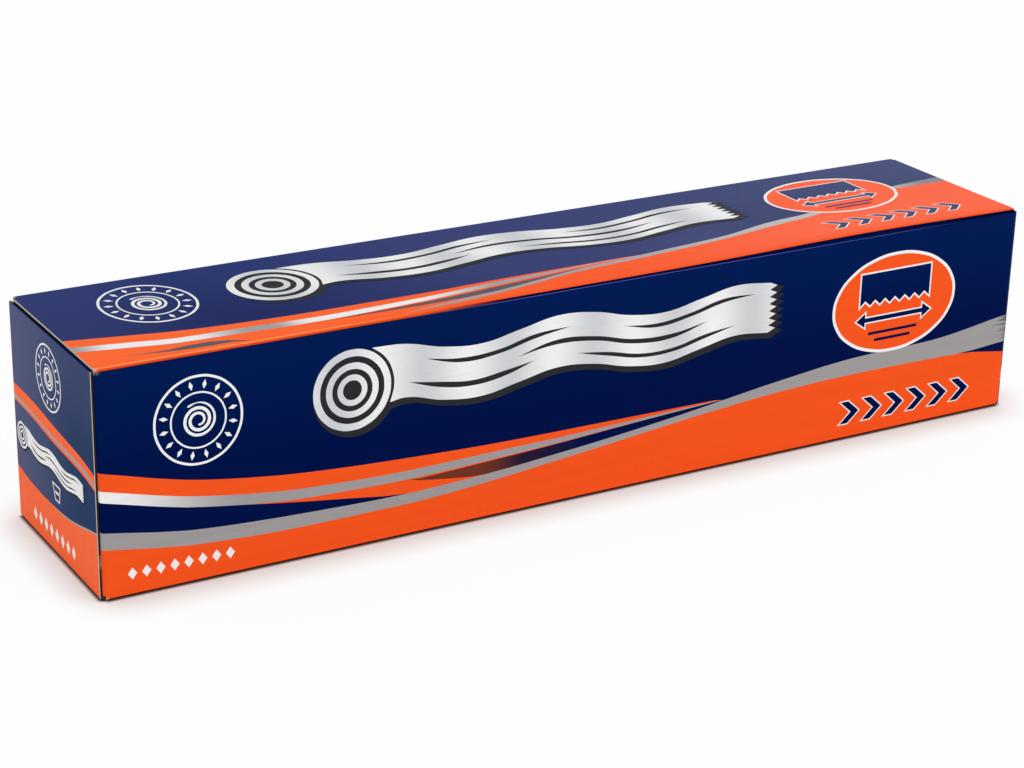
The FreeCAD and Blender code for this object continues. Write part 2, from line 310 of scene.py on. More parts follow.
def empty_material(name):
    """A new material with no nodes in it, and its node tree."""
    material = bpy.data.materials.new(name)
    material.use_nodes = True
    material.node_tree.nodes.clear()
    return material, material.node_tree


def close_material(tree, shader):
    add_node(tree, "OutputMaterial", {"Surface": shader})


def object_axes(tree):
    """The outputs X, Y and Z of the shaded place, in Object coordinates."""
    place = add_node(tree, "TexCoord").outputs["Object"]
    return add_node(tree, "SeparateXYZ", {"Vector": place}).outputs


def grain(tree, per_axis, detail=3.0, roughness=0.55):
    """Noise on Object coordinates. per_axis is the size of one grain along X, Y and Z, in millimetres."""
    scaled = add_node(tree, "Mapping", {
        "Vector": add_node(tree, "TexCoord").outputs["Object"],
        "Scale": tuple(1.0 / (size * MM) for size in per_axis)})
    return add_node(tree, "TexNoise", {
        "Vector": scaled, "Scale": 1.0, "Detail": detail, "Roughness": roughness})


# The materials follow.

def corner_wear(tree):
    """A mask that is 1 where the ink is rubbed off: in spots at the left end's corners, and along the
    front upright edges of both ends."""
    size = sizes()
    x, y, z = object_axes(tree)
    across = add_node(tree, "Math", {0: x}, operation="ABSOLUTE")
    along = add_node(tree, "Math", {0: y}, operation="ABSOLUTE")
    left = size.length / -2
    side = size.depth / 2
    near_x = add_node(tree, "MapRange", {0: x, 1: left + 0.0010, 2: left + 0.0024, 3: 1.0, 4: 0.0}, **SMOOTH)
    near_y = add_node(tree, "MapRange", {0: along, 1: side - 0.0024, 2: side - 0.0010}, **SMOOTH)
    low = add_node(tree, "MapRange", {0: z, 1: 0.0002, 2: 0.0018, 3: 1.0, 4: 0.0}, **SMOOTH)
    high = add_node(tree, "MapRange", {0: z, 1: size.height - 0.0018, 2: size.height - 0.0006}, **SMOOTH)
    upright = add_node(tree, "Math", {0: near_x, 1: near_y}, operation="MULTIPLY")
    ends = add_node(tree, "Math", {0: low, 1: high}, operation="MAXIMUM")
    corner = add_node(tree, "Math", {0: upright, 1: ends}, operation="MULTIPLY")
    rubbed = add_node(tree, "MapRange", {0: grain(tree, (0.8, 0.8, 0.8), 2.0), 1: 0.40, 2: 0.56})
    spots = add_node(tree, "Math", {0: corner, 1: rubbed}, operation="MULTIPLY")
    end = size.length / 2
    edge = size.fold_radius - side
    on_end = add_node(tree, "MapRange", {0: across, 1: end - 0.0003, 2: end - 0.0001})
    in_front = add_node(tree, "MapRange", {0: y, 1: edge + 0.0005, 2: edge + 0.0007, 3: 1.0, 4: 0.0})
    line = add_node(tree, "Math", {0: on_end, 1: in_front}, operation="MULTIPLY")
    return add_node(tree, "Math", {0: spots, 1: line}, operation="MAXIMUM")


def varnished_ink(name, colour_of, metallic=0.0, roughness=0.32):
    """Offset ink under a thin satin varnish on coated carton board."""
    _, tree = empty_material(name)
    # The varnish follows the board's fibres, so the gloss is soft and slightly uneven along the carton.
    streaks = grain(tree, (60.0, 1.6, 1.6), 2.0)
    fibres = grain(tree, (1.4, 0.5, 0.5), 4.0, 0.6)
    tint = add_node(tree, "MapRange", {0: streaks, 1: 0.30, 2: 0.70, 3: 0.975, 4: 1.025})
    speck = add_node(tree, "MapRange", {0: fibres, 1: 0.30, 2: 0.70, 3: 0.980, 4: 1.020})
    level = add_node(tree, "Math", {0: tint, 1: speck}, operation="MULTIPLY")
    toned = add_node(tree, "VectorMath", {0: colour_of(tree), "Scale": level}, operation="SCALE")
    worn = add_node(tree, "Mix", {0: corner_wear(tree), 6: toned, 7: linear(colours().raw_edge)}, **RGBA)
    shader = add_node(tree, "BsdfPrincipled", {
        "Base Color": worn.outputs[2],
        "Metallic": metallic,
        "Roughness": add_node(tree, "MapRange", {
            0: fibres, 1: 0.25, 2: 0.75, 3: roughness - 0.05, 4: roughness + 0.06}),
        "Specular IOR Level": 0.01,
        "Normal": add_node(tree, "Bump", {"Height": fibres, "Strength": 0.10, "Distance": 0.00006})})
    close_material(tree, shader)


def plain_colour(hex_colour):
    """One ink, all over."""
    def colour(tree):
        node = add_node(tree, "RGB")
        node.outputs[0].default_value = linear(hex_colour)
        return node
    return colour


def fading_colour(stops, axis="X"):
    """Inks that fade into each other along an axis: a list of (place in millimetres, hex colour)."""
    def colour(tree):
        along = object_axes(tree)[axis]
        result = linear(stops[0][1])
        for (start, _), (stop, hex_colour) in zip(stops, stops[1:]):
            share = add_node(tree, "MapRange", {0: along, 1: start * MM, 2: stop * MM}, **SMOOTH)
            result = add_node(tree, "Mix", {0: share, 6: result, 7: linear(hex_colour)}, **RGBA).outputs[2]
        return result
    return colour


def brushed_end(tree):
    """Silver ink that breaks up into dark streaks near the carton's right end."""
    near_end = add_node(tree, "MapRange", {0: object_axes(tree)["X"], 1: 0.1450, 2: 0.1555, 3: 0.0, 4: 0.40})
    ragged = add_node(tree, "Math", {0: grain(tree, (14.0, 5.0, 0.6), 2.0), 1: near_end}, operation="ADD")
    dark = add_node(tree, "MapRange", {0: ragged, 1: 0.82, 2: 0.92})
    return add_node(tree, "Mix", {
        0: dark, 6: linear(colours().silver), 7: linear(colours().brushed_dark)}, **RGBA).outputs[2]


def lid_field_with_painted_sheen(tree):
    """Navy on the lid, lighter than the front's and paler still near the rear fold, at the left end and
    about the middle: painted sheen.
    """
    ink = colours()
    # thin is the lid's navy, with painted sheen growing towards the rear fold.
    thin = fading_colour([(-10.0, ink.lid_lit_navy), (30.0, ink.lid_rear_sheen_navy)], "Y")(tree)
    along = object_axes(tree)["X"]
    left = add_node(tree, "MapRange", {0: along, 1: -0.150, 2: -0.108, 3: 0.5, 4: 0.0}, **SMOOTH)
    rising = add_node(tree, "MapRange", {0: along, 1: -0.100, 2: -0.015, 3: 0.0, 4: 0.85}, **SMOOTH)
    falling = add_node(tree, "MapRange", {0: along, 1: 0.030, 2: 0.095, 3: 1.0, 4: 0.0}, **SMOOTH)
    middle = add_node(tree, "Math", {0: rising, 1: falling}, operation="MULTIPLY")
    share = add_node(tree, "Math", {0: left, 1: middle}, operation="ADD")
    return add_node(tree, "Mix", {0: share, 6: thin, 7: linear(ink.lid_sheen_navy)}, **RGBA).outputs[2]


def end_field_with_painted_sheen(tree):
    """Navy on the end panels, lighter than the front's and paler still near the top and towards the rear:
    painted sheen.
    """
    ink = colours()
    end_sheen_by_height = fading_colour([(38.0, ink.end_lit_navy), (63.0, ink.end_top_sheen_navy)], "Z")(tree)
    share = add_node(tree, "MapRange", {0: object_axes(tree)["Y"], 1: -0.020, 2: 0.034}, **SMOOTH)
    return add_node(tree, "Mix", {0: share, 6: end_sheen_by_height, 7: linear(ink.end_rear_sheen_navy)}, **RGBA).outputs[2]


def flecked(tree, base, pattern, darker, lighter, low=0.3, high=0.7):
    """The base colour times the first factor where the pattern is low, and times the second where high."""
    share = add_node(tree, "MapRange", {0: pattern, 1: low, 2: high})
    return add_node(tree, "Mix", {
        0: share, 6: shade_of(base, darker), 7: shade_of(base, lighter)}, **RGBA).outputs[2]


def close_textured(tree, colour, pattern, roughness, height, bump, kind):
    """Ends a material whose roughness follows a pattern.

    roughness is the least and the most, bump is the strength and distance of the height, and kind is
    METAL or MATT."""
    rough = add_node(tree, "MapRange", {0: pattern, 1: 0.3, 2: 0.7, 3: roughness[0], 4: roughness[1]})
    normal = add_node(tree, "Bump", {"Height": height, "Strength": bump[0], "Distance": bump[1]})
    close_material(tree, add_node(tree, "BsdfPrincipled", {
        "Base Color": colour, "Roughness": rough, "Normal": normal, **kind}))


def card_surface(name, hex_colour, fibre_size):
    """Unprinted recycled card: matt, with fibres that show as fine light and dark flecks."""
    _, tree = empty_material(name)
    fibres = grain(tree, (fibre_size * 2.2, fibre_size, fibre_size), 5.0, 0.65)
    colour = flecked(tree, linear(hex_colour), fibres, 0.86, 1.10, 0.32, 0.68)
    close_textured(tree, colour, fibres, (0.82, 0.94), fibres, (0.25, 0.00008), MATT)


def scuffed_edge(name, card_hex, dark_hex):
    """A cut board edge rubbed dark by handling, with paler card showing in patches."""
    _, tree = empty_material(name)
    fibres = grain(tree, (0.5, 0.25, 0.25), 3.0)
    bare = add_node(tree, "MapRange", {0: grain(tree, (9.0, 9.0, 9.0), 3.0), 1: 0.60, 2: 0.70})
    colour = add_node(tree, "Mix", {0: bare, 6: linear(dark_hex), 7: linear(card_hex)}, **RGBA)
    close_textured(tree, colour.outputs[2], fibres, (0.75, 0.92), fibres, (0.3, 0.00008), MATT)


# The slots of every piece of board, in order, and the material that each one holds.
(NAVY, ORANGE, SILVER, FADING, BROWN, TOP_SILVER_SHEEN, WEDGE, FOLD_HIGHLIGHT, LINER, RAW_EDGE, SCUFFED_EDGE,
 STAINED_EDGE, LID_SHEEN_NAVY, END_SHEEN_NAVY, LID_SILVER, BOTTOM_FOLD_SHADE, LID_SHEEN_ORANGE, END_SHEEN_ORANGE, FOLD_SHADE,
 BRUSHED) = range(20)
BOARD_MATERIALS = (
    "navy_ink_on_board", "orange_ink_on_board", "silver_ink_on_board", "fading_silver_ink",
    "brown_to_navy_ink", "mottled_silver_ink", "brown_to_slate_ink", "stretched_orange_ink",
    "unprinted_liner", "cut_board_edge", "scuffed_dark_edge", "ink_stained_edge",
    "thin_navy_ink_on_lid", "dull_navy_ink_on_ends", "lid_silver_ink", "soiled_bottom_fold",
    "lid_orange_ink", "end_orange_ink", "orange_to_navy_fold_ink", "brushed_silver_ink")
SILVER_METALLIC = 0.3


def mix_plain_inks(ink):
    """The inks that are the same all over, and the bare board."""
    varnished_ink("orange_ink_on_board", plain_colour(ink.orange))
    varnished_ink("silver_ink_on_board", plain_colour(ink.silver), SILVER_METALLIC)
    # Painted shade under the bottom folds.
    varnished_ink("soiled_bottom_fold", plain_colour(ink.base_fold_shade))
    # A lighter orange for the end panels: painted sheen.
    varnished_ink("end_orange_ink", plain_colour(ink.end_lit_orange))
    card_surface("unprinted_liner", ink.liner, 0.5)
    card_surface("cut_board_edge", ink.raw_edge, 0.25)
    scuffed_edge("scuffed_dark_edge", ink.raw_edge, ink.dark_edge)


def mix_front_inks(ink):
    """The inks that fade on the front panel, its cut edge and the end panels."""
    varnished_ink("navy_ink_on_board", fading_colour([(28.0, ink.deep_navy), (64.0, ink.navy)], "Z"))
    varnished_ink("fading_silver_ink", fading_colour([
        (-155.0, ink.pale_silver), (-112.0, ink.silver)]), SILVER_METALLIC)
    varnished_ink("brushed_silver_ink", brushed_end, SILVER_METALLIC)
    varnished_ink("brown_to_navy_ink", fading_colour([
        (-58.0, ink.brown), (-40.0, ink.brown), (-24.0, ink.wedge_dark), (0.0, ink.deep_navy)]))
    varnished_ink("ink_stained_edge", fading_colour([
        (-70.0, ink.deep_navy), (-20.0, ink.stained_edge), (100.0, ink.stained_edge),
        (140.0, ink.deep_navy)]), roughness=0.7)
    # Navy with painted sheen on the end panels.
    varnished_ink("dull_navy_ink_on_ends", end_field_with_painted_sheen)


def mix_lid_inks(ink):
    """The inks that fade on the lid and its tuck flap."""
    # Navy with painted sheen on the lid.
    varnished_ink("thin_navy_ink_on_lid", lid_field_with_painted_sheen)
    # Orange with painted sheen on the lid, lighter on the left.
    varnished_ink("lid_orange_ink", fading_colour([(-120.0, ink.lid_sheen_orange), (30.0, ink.lid_right_lit_orange)]))
    varnished_ink("lid_silver_ink", fading_colour([
        (126.0, ink.silver), (150.0, ink.slate)]), SILVER_METALLIC)
    # Silver on the lid that turns pale and back in stretches: painted sheen.
    varnished_ink("mottled_silver_ink", fading_colour([
        (-155.0, ink.silver), (-144.0, ink.pale_silver), (-124.0, ink.pale_silver), (-106.0, ink.silver),
        (-100.0, ink.silver), (-88.0, ink.pale_silver), (-56.0, ink.pale_silver),
        (-26.0, ink.silver)]), SILVER_METALLIC)
    varnished_ink("brown_to_slate_ink", fading_colour([
        (-146.0, ink.haze_tan), (-128.0, ink.slate), (-108.0, ink.slate), (-86.0, ink.wedge_rust),
        (-50.0, ink.slate), (-14.0, ink.slate), (5.0, ink.wedge_plum)]))
    # Painted highlight along the lid's front fold, fading out towards the middle.
    varnished_ink("stretched_orange_ink", fading_colour([(-110.0, ink.fold_highlight_orange), (-30.0, ink.orange)]))
    # Orange print that gives way, on the right, to painted shade in near-black navy just below the lid's
    # front fold.
    varnished_ink("orange_to_navy_fold_ink", fading_colour([(-60.0, ink.orange), (-30.0, ink.fold_shade_navy)]))


def give_materials(piece, names):
    """Puts the named shared materials into the piece's slots, in order."""
    piece.data.materials.clear()
    for name in names:
        piece.data.materials.append(bpy.data.materials[name])


# The folded board follows.

def nothing_selected():
    if bpy.context.object and bpy.context.object.mode != "OBJECT":
        bpy.ops.object.mode_set(mode="OBJECT")
    bpy.ops.object.select_all(action="DESELECT")


def only(piece):
    nothing_selected()
    piece.select_set(True)
    bpy.context.view_layer.objects.active = piece


def joined(pieces, name):
    """Joins the pieces to the first one, which takes the name."""
    nothing_selected()
    for piece in pieces:
        piece.select_set(True)
    bpy.context.view_layer.objects.active = pieces[0]
    if len(pieces) > 1:
        bpy.ops.object.join()
    piece = bpy.context.object
    piece.name = name
    piece.data.name = name
    return piece


def close_up(merge, sliver=0.0):
    """Merges the doubled corners of the active piece, takes out slivers and turns its faces outwards."""
    bpy.ops.object.mode_set(mode="EDIT")
    bpy.ops.mesh.select_all(action="SELECT")
    bpy.ops.mesh.remove_doubles(threshold=merge)
    if sliver:
        bpy.ops.mesh.dissolve_degenerate(threshold=sliver)
    bpy.ops.mesh.normals_make_consistent(inside=False)
    bpy.ops.object.mode_set(mode="OBJECT")


def line_at(points, along):
    """Height of a band line, smooth between its points and level beyond its ends."""
    xs = np.array([p[0] for p in points], float)
    ys = np.array([p[1] for p in points], float)
    steps = np.diff(ys) / np.diff(xs)
    slopes = np.zeros(len(xs))
    for i in range(1, len(xs) - 1):
        if steps[i - 1] * steps[i] > 0:
            slopes[i] = 2 * steps[i - 1] * steps[i] / (steps[i - 1] + steps[i])
    slopes[0], slopes[-1] = steps[0], steps[-1]
    along = min(max(along, xs[0]), xs[-1])
    i = min(int(np.searchsorted(xs, along, side="right")) - 1, len(xs) - 2)
    width = xs[i + 1] - xs[i]
    t = (along - xs[i]) / width
    return float((2 * t**3 - 3 * t**2 + 1) * ys[i] + (t**3 - 2 * t**2 + t) * width * slopes[i]
                 + (3 * t**2 - 2 * t**3) * ys[i + 1] + (t**3 - t**2) * width * slopes[i + 1])


def stations(half, count, stops):
    """Even places from -half to half, with the nearest ones moved onto the stops."""
    places = np.linspace(-half, half, count)
    for stop in stops:
        nearest = 1 + int(np.argmin(abs(places[1:-1] - stop)))
        places[nearest] = stop
    return [float(p) for p in places]


def board_patch(columns, rows_at, place, inks):
    """A grid shaped into one panel: a column at each place along, and a row between each pair of lines.

    rows_at(along) gives the heights of all lines there, and inks gives each row's slot."""
    count = len(inks)
    bpy.ops.mesh.primitive_grid_add(x_subdivisions=len(columns) - 1, y_subdivisions=count, size=1.0)
    piece = bpy.context.object
    give_materials(piece, BOARD_MATERIALS)
    for vertex in piece.data.vertices:
        i = round((vertex.co.x + 0.5) * (len(columns) - 1))
        j = round((vertex.co.y + 0.5) * count)
        vertex.co = Vector(place(columns[i], rows_at(columns[i])[j])) * MM
    for polygon in piece.data.polygons:
        polygon.material_index = inks[polygon.index // (len(columns) - 1)]
    return piece


def join_patches(name, patches, board, edge_at):
    """Joins the panels of one blank at their folds and gives the sheet its thickness, inwards.

    edge_at(place) gives the slot of a cut edge from its middle, in millimetres."""
    piece = joined(patches, name)
    close_up(MERGE_DISTANCE, SLIVER_WIDTH)
    faces = len(piece.data.polygons)
    thicken = piece.modifiers.new("board", "SOLIDIFY")
    thicken.thickness = board
    thicken.offset = -1.0
    thicken.use_even_offset = True
    bpy.ops.object.modifier_apply(modifier=thicken.name)
    for polygon in piece.data.polygons:
        if polygon.index >= 2 * faces:
            polygon.material_index = edge_at(polygon.center / MM)
        elif polygon.index >= faces:
            polygon.material_index = LINER
    bpy.ops.object.shade_smooth_by_angle(angle=SHARP_ANGLE)
    return piece


def fold_steps(count):
    return [k / count for k in range(count + 1)]


def quarter_turn(count):
    """The angles of the steps round a right-angled fold."""
    return [math.pi / 2 * t for t in fold_steps(count)]


def wrap_columns(half, radius, flap, inner):
    """Places along a panel that wraps round both ends onto its dust flaps, measured on its outer face."""
    arc = radius * math.pi / 2
    beyond = [half + arc * t for t in fold_steps(FOLD_STEPS)[1:]]
    last = half + arc + flap - radius
    beyond += [last - DUST_FLAP_CUT, last]
    return [-p for p in reversed(beyond)] + inner + beyond


def wrapped(half, radius, side_y, out):
    """Maps a place along a wrapped panel to X and Y. out is -1 at the front and 1 at the rear."""
    arc = radius * math.pi / 2

    def spot(along):
        away = abs(along)
        side = 1 if along > 0 else -1
        if away <= half:
            return along, side_y
        if away <= half + arc:
            turn = (away - half) / radius
            return side * (half + radius * math.sin(turn)), side_y - out * radius * (1 - math.cos(turn))
        return side * (half + radius), side_y - out * (radius + away - half - arc)
    return spot


def in_order(lines, low, high):
    """The same heights, with none below the one before it or past the panel's edges."""
    ordered = []
    for value in lines:
        least = ordered[-1] if ordered else low
        ordered.append(min(max(value, least), high))
    return ordered


def front_rows(low, high):
    def rows(x):
        field, two_low, two_top, one_low, one_top, thin, crescent, wedge_low = (
            line_at(points, x) for points in FRONT_LINES.values())
        crescent = min(crescent, one_low)
        if x <= CRESCENT_START:
            crescent = one_low
        if x >= CRESCENT_END:
            crescent = two_top
        # A sliver of orange parts the wedge from the silver band, and thins to nothing on the right.
        wedge_top = one_low - 0.5 * max(0.0, (20.0 - x) / 83.0)
        if x >= WEDGE_WIDE:
            wedge_low = two_top
        if x <= WEDGE_START:
            wedge_low = wedge_top = one_low
        wedge_low = max(wedge_low, crescent)
        wedge_top = max(wedge_top, wedge_low)
        if x >= FRONT_BANDS_MEET:
            one_low = one_top = thin = wedge_low = wedge_top = two_top
        lines = [low, field, two_low, two_top, crescent, wedge_low, wedge_top, one_low, one_top, thin, high]
        return in_order(lines, low, high)
    return rows


FRONT_INKS = (ORANGE, NAVY, BRUSHED, NAVY, ORANGE, BROWN, ORANGE, FADING, ORANGE, NAVY)


def end_rows(low, high):
    def rows(y):
        return [low] + [line_at(points, y) for points in END_LINES.values()] + [high]
    return rows


# The end panels' orange and navy rows carry painted sheen.
END_INKS = (END_SHEEN_ORANGE, SILVER, END_SHEEN_NAVY, END_SHEEN_ORANGE, SILVER, END_SHEEN_ORANGE, END_SHEEN_NAVY)


def rear_rows(low, high):
    """The rear panel carries the front's lower field and one plain silver band."""
    def rows(x):
        return [low, 15.0 + 3.0 * math.cos(x / 70.0), 18.5 + 4.0 * math.cos(x / 70.0), high]
    return rows


REAR_INKS = (ORANGE, SILVER, NAVY)


def trimmed_rows(rows, last, cut, low, high):
    """Rows whose ends are cut off slantwise over the last stretch, as a dust flap's corners are."""
    def trimmed(along):
        over = max(0.0, abs(along) - (last - cut))
        return [min(max(value, low + over), high - over) for value in rows(along)]
    return trimmed


class FOIL_OT_carton_board(bpy.types.Operator):
    """Builds the carton's body from its folded blank: front, bottom and rear panels with both end flaps"""
    bl_idname = "foil.carton_board"
    bl_label = "Carton body"

    def execute(self, context):
        size = sizes()
        board = size.board / MM
        radius = size.fold_radius / MM
        half_depth = size.depth / MM / 2
        end_out = size.length / MM / 2
        half = end_out - board - radius
        height = size.height / MM
        rim = height - radius
        low = radius + board
        columns = stations(half, FRONT_COLUMNS, FRONT_STOPS)
        panel_ys = stations(half_depth - radius, END_COLUMNS, END_STOPS)
        flap = size.flap_depth / MM - board
        last = half + radius * math.pi / 2 + flap - radius
        wide = wrap_columns(half, radius, flap, columns)
        patches = []
        for out, rows, inks, top in ((-1, front_rows, FRONT_INKS, rim),
                                     (1, rear_rows, REAR_INKS, height - CREASE_REACH)):
            spot = wrapped(half, radius, out * half_depth, out)
            patches.append(board_patch(
                wide, trimmed_rows(rows(low, top), last, DUST_FLAP_CUT, low, top),
                lambda along, up, spot=spot: (*spot(along), up), inks))
        # The bottom with the folds along its front and rear, as one strip across the carton.
        fold = [(-half_depth, low)]
        fold += [(-half_depth + radius * (1 - math.cos(a)), radius * (1 - math.sin(a)))
                 for a in quarter_turn(FOLD_STEPS)]
        path = fold + [(y, 0.0) for y in panel_ys[1:-1]] + [(-y, z) for y, z in reversed(fold)]
        # The lower steps of the bottom folds are painted shade in dark brown.
        fold_inks = (ORANGE, ORANGE) + (BOTTOM_FOLD_SHADE,) * (FOLD_STEPS - 1)
        patches.append(board_patch(
            columns, lambda along: range(len(path)), lambda along, step: (along, *path[step]),
            fold_inks + (ORANGE,) * (len(path) - 1 - 2 * len(fold_inks)) + fold_inks[::-1]))
        # Each end flap folds up from the bottom and covers the dust flaps.
        for side in (-1, 1):
            start = half + board
            rise = [(half, 0.0), (start, 0.0)]
            rise += [(start + radius * math.sin(a), radius * (1 - math.cos(a)))
                     for a in quarter_turn(FOLD_STEPS)[1:]]
            rows = end_rows(radius, rim)
            steps = len(rise) - 1

            def heights(y, rows=rows, steps=steps):
                return list(range(-steps, 0)) + rows(y)

            def spot(y, up, rise=rise, steps=steps, side=side):
                if up < 0:
                    return side * rise[int(up) + steps][0], y, rise[int(up) + steps][1]
                return side * rise[-1][0], y, up
            # The lower steps of the end flap's bottom fold are painted shade in dark brown, and its last
            # step takes the end's orange with painted sheen.
            base_inks = (ORANGE,) + (BOTTOM_FOLD_SHADE,) * (FOLD_STEPS - 1) + (END_SHEEN_ORANGE,)
            patches.append(board_patch(panel_ys, heights, spot, base_inks + END_INKS))

        def edge_at(place):
            if place.z > rim - 0.1 and (place.y < -half_depth + 1.0 or abs(place.x) > half):
                return STAINED_EDGE
            if abs(place.x) > half:
                return SCUFFED_EDGE
            return RAW_EDGE
        piece = join_patches("carton_board", patches, size.board, edge_at)
        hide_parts("tray")
        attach(piece, "carton")
        return {"FINISHED"}


# The lid follows.

def lid_bow(x, y):
    """How far the lid's surface stands above flat, in millimetres, from its place in millimetres."""
    near_front = min(max((BOW_START - y) / BOW_RUN, 0.0), 1.0)
    near_front = near_front * near_front * (3 - 2 * near_front)
    lift = sizes().lid_lift / MM
    return lift * near_front * (math.exp(-((x - BOW_MIDDLE) / BOW_SPREAD) ** 2) - BOW_DIP)


def top_rows(front, rear):
    def rows(x):
        haze_low, haze_top, two_low, two_top, wedge_low, wedge_top, one_low, one_top, thin = (
            line_at(points, x) for points in TOP_LINES.values())
        if x >= HAZE_END:
            haze_low = haze_top = front
        if x <= SILVER_TWO_START:
            two_low = two_top = haze_top
        if x <= TOP_WEDGE_START:
            wedge_low = wedge_top
        if x >= TOP_WEDGE_WIDE:
            wedge_low = two_top
        if x >= TOP_WEDGE_END:
            wedge_top = two_top
        if x >= TOP_BANDS_MEET:
            one_low = one_top = thin = two_top
        # The field's rows lie close together near the front edge, where the lid bows.
        steps = [front + (haze_low - front) * k / 2 for k in range(3)] + [haze_top]
        steps += [haze_top + (two_low - haze_top) * k / 5 for k in range(1, 6)]
        lines = steps + [two_top, wedge_low, wedge_top, one_low, one_top, thin]
        lines += [thin + (rear - thin) * share for share in (0.06, 0.14, 0.3, 1.0)]
        return in_order(lines, front, rear)
    return rows


# On the lid the orange, the navy and one silver band take inks with painted sheen.
TOP_INKS = ((LID_SHEEN_ORANGE, LID_SHEEN_ORANGE, WEDGE) + (LID_SHEEN_ORANGE,) * 5
            + (LID_SILVER, LID_SHEEN_ORANGE, WEDGE, LID_SHEEN_ORANGE, TOP_SILVER_SHEEN, LID_SHEEN_ORANGE) + (LID_SHEEN_NAVY,) * 4)


class FOIL_OT_lid_board(bpy.types.Operator):
    """Builds the lid panel with its front fold and the tuck flap that goes behind the front panel"""
    bl_idname = "foil.lid_board"
    bl_label = "Lid and tuck flap"

    def execute(self, context):
        size = sizes()
        radius = size.fold_radius / MM
        height = size.height / MM
        half = size.length / MM / 2 - LID_END_GAP
        flap_half = half - FLAP_INSET
        rear = size.depth / MM / 2 - CREASE_REACH
        lean = size.tuck_lean
        corner_y = -size.depth / MM / 2 + FOLD_SETBACK
        down = Vector((0.0, math.sin(lean), -math.cos(lean)))
        fold_y = corner_y + radius * (1 + math.sin(lean)) / math.cos(lean)
        columns = stations(half, LID_COLUMNS, TOP_STOPS)
        top = board_patch(columns, top_rows(fold_y, rear),
                          lambda x, y: (x, y, height + lid_bow(x, y)), TOP_INKS)
        # From the front fold down to the flap's edge, as steps along the folded sheet.
        bends = 6
        turns = [math.pi / 2 + (math.pi / 2 + lean) * t for t in fold_steps(bends)]
        path = [(fold_y + radius * math.cos(a), height - radius + radius * math.sin(a)) for a in turns]
        start = Vector((0.0, *path[-1]))
        reach = size.tuck_depth / MM - radius
        path += [tuple((start + down * d)[1:]) for d in (4.0, 8.5, reach - FLAP_CUT, reach)]
        # The bow dies away down the flap, which the front panel keeps flat.
        lifts = [1.0] * (bends + 1) + [0.5, 0.0, 0.0, 0.0]

        def flap_spot(x, step):
            y, z = path[step]
            limit = half if step <= bends else flap_half
            if step == len(path) - 1:
                limit = flap_half - FLAP_CUT
            x = min(max(x, -limit), limit)
            return x, y, z + lid_bow(x, fold_y) * lifts[step]
        # Round the lid's front fold: the lid's orange, then a painted highlight in paler orange, then
        # painted shade in near-black navy where the gap below the fold lies in shadow.
        bend_inks = (LID_SHEEN_ORANGE,) + (FOLD_HIGHLIGHT,) * 2 + (FOLD_SHADE,) * 3
        flap_inks = bend_inks + (NAVY,) * (len(path) - 1 - len(bend_inks))
        flap = board_patch(columns, lambda x: range(len(path)), flap_spot, flap_inks)
        piece = join_patches("lid_board", [top, flap], size.board, lambda place: RAW_EDGE)
        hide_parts("lid")
        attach(piece, "lid_flap")
        return {"FINISHED"}


class FOIL_OT_rear_fold(bpy.types.Operator):
    """Builds the creased fold between the rear panel and the lid"""
    bl_idname = "foil.rear_fold"
    bl_label = "Rear fold"

    def execute(self, context):
        size = sizes()
        radius = size.fold_radius / MM
        height = size.height / MM
        half_depth = size.depth / MM / 2
        half = size.length / MM / 2 - size.board / MM - radius
        near = CREASE_REACH - 0.6
        path = [(half_depth, height - CREASE_REACH), (half_depth, height - near)]
        path += [(half_depth - radius * (1 - math.cos(a)), height - radius * (1 - math.sin(a)))
                 for a in quarter_turn(8)]
        path += [(half_depth - near, height), (half_depth - CREASE_REACH, height)]
        columns = stations(half, CREASE_COLUMNS, ())
        # Where the strip lies over the lid it takes the lid's navy with painted sheen.
        strip = board_patch(columns, lambda x: range(len(path)),
                            lambda x, step: (x, *path[step]), (NAVY,) * 5 + (LID_SHEEN_NAVY,) * (len(path) - 6))
        piece = join_patches("rear_fold", [strip], size.board, lambda place: RAW_EDGE)
        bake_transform(piece)
        return {"FINISHED"}


# The printed marks follow.

def circle(radius, centre=(0.0, 0.0), squash=1.0):
    """A smooth outline of sixteen points, round or squashed."""
    return ("smooth", [(centre[0] + radius * math.cos(a), centre[1] + radius * squash * math.sin(a))
                       for a in (math.pi / 8 * k for k in range(16))])


def moved(outline, across, up, wide=1.0, tall=1.0):
    kind, points = outline
    return kind, [(across + wide * u, up + tall * v, *corner) for u, v, *corner in points]


def grown(outline, by):
    """An outline moved outwards by the same distance all round."""
    kind, points = outline
    area = sum(a[0] * b[1] - b[0] * a[1] for a, b in zip(points, points[1:] + points[:1]))
    turn = 1 if area > 0 else -1
    wider = []
    for before, here, after in zip(points[-1:] + points[:-1], points, points[1:] + points[:1]):
        corner = here[2:]
        before, here, after = (Vector(p[:2]) for p in (before, here, after))
        one = (here - before).normalized()
        two = (after - here).normalized()
        first = Vector((one.y, -one.x)) * turn
        second = Vector((two.y, -two.x)) * turn
        middle = (first + second).normalized()
        reach = by / max(0.45, middle.dot(first))
        wider.append((*(here + middle * reach), *corner))
    return kind, wider


